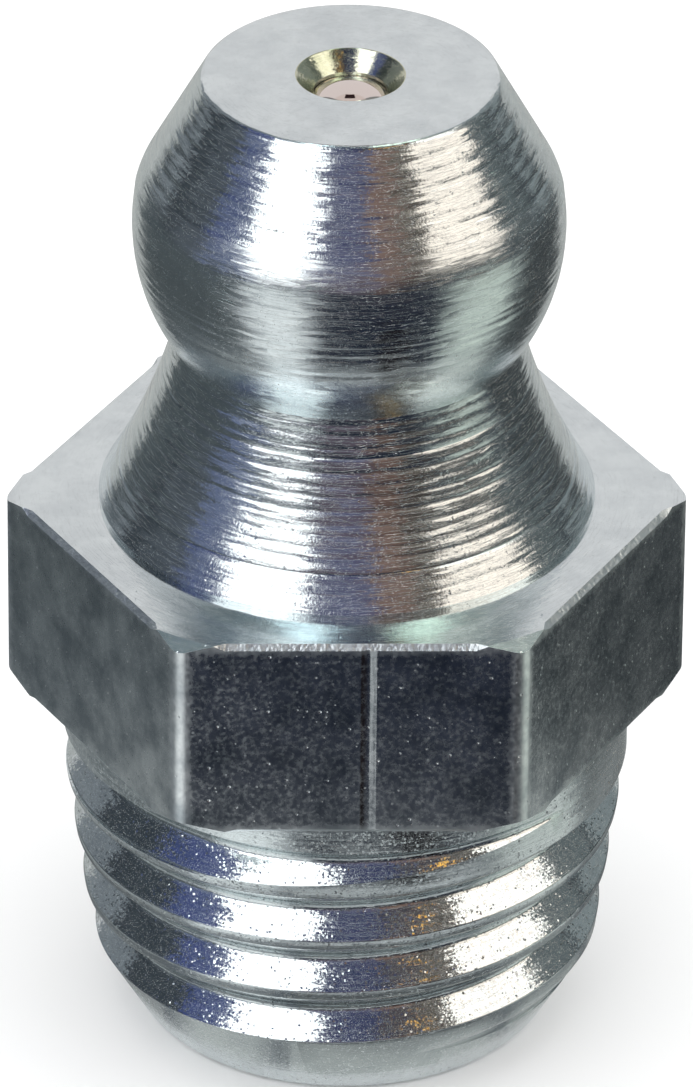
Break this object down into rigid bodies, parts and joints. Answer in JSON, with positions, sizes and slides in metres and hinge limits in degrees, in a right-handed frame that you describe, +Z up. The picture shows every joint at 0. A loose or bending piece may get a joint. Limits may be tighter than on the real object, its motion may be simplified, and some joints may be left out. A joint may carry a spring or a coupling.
{
  "type": "grease nipple",
  "caption": "Straight grease nipple: ball head with a coned nose, flared neck, spanner hexagon and tapered thread, closed at the inlet by a spring-loaded check ball.",
  "frame": {"origin": "centre of the foot face, at the bottom end of the thread", "axes": "+Z up the axis of the body from the thread to the ball head; two corners of the hexagon lie on X and two of its flats face +Y and -Y"},
  "size_m": [0.0104, 0.009, 0.016],
  "materials": {
    "zinc_plated_steel": "turned steel with bright, slightly blue zinc plating",
    "ball_steel": "polished hardened steel",
    "spring_steel": "drawn spring wire"
  },
  "bodies": {
    "housing": {"nipple_body": "zinc_plated_steel", "valve_spring": "spring_steel"},
    "check_valve": {"check_ball": "ball_steel"}
  },
  "joints": [
    {"name": "ball_lift", "type": "slide", "parent": "housing", "child": "check_valve", "axis": [0, 0, -1], "range_m": [0, 0.001], "stiffness_N_per_m": 790, "springref_m": -0.001, "deforming": ["valve_spring"]}
  ]
}
